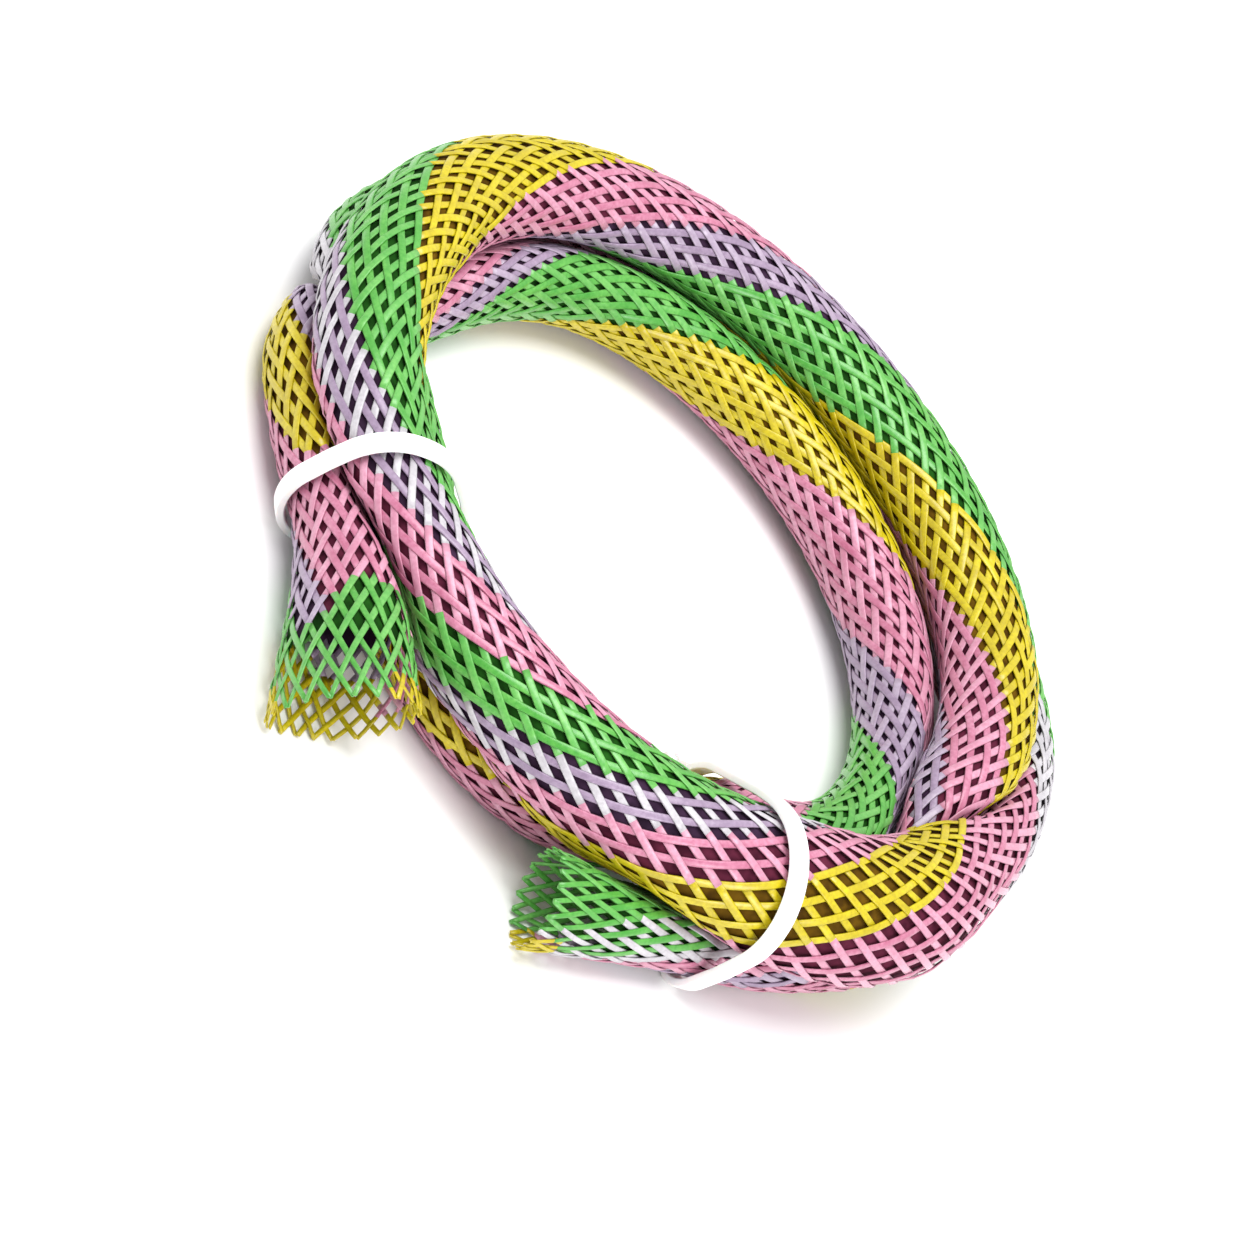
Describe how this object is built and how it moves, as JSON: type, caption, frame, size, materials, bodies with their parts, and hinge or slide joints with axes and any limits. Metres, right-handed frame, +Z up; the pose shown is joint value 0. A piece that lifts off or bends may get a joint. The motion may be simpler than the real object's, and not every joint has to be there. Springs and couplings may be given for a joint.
{
  "type": "braided cable sleeve",
  "caption": "Length of expandable tubular braid with spiral colour stripes, wound into a flat coil, tied in two places, with both cut ends flaring open to take cables.",
  "frame": {"origin": "centre of the whole part's box in plan, on the floor that the coil lies on", "axes": "+Z up out of the coil's plane; -Y is the side where both cut ends come out, +X is to the right of them"},
  "size_m": [0.123, 0.1422, 0.026],
  "materials": {
    "braid": "polyester monofilament braid in green, yellow, pink and lavender stripes, satin",
    "tie": "moulded natural white nylon, semi-gloss"
  },
  "bodies": {
    "root": {"braided_sleeve": "braid", "cable_tie_left": "tie", "cable_tie_right": "tie"}
  },
  "joints": []
}
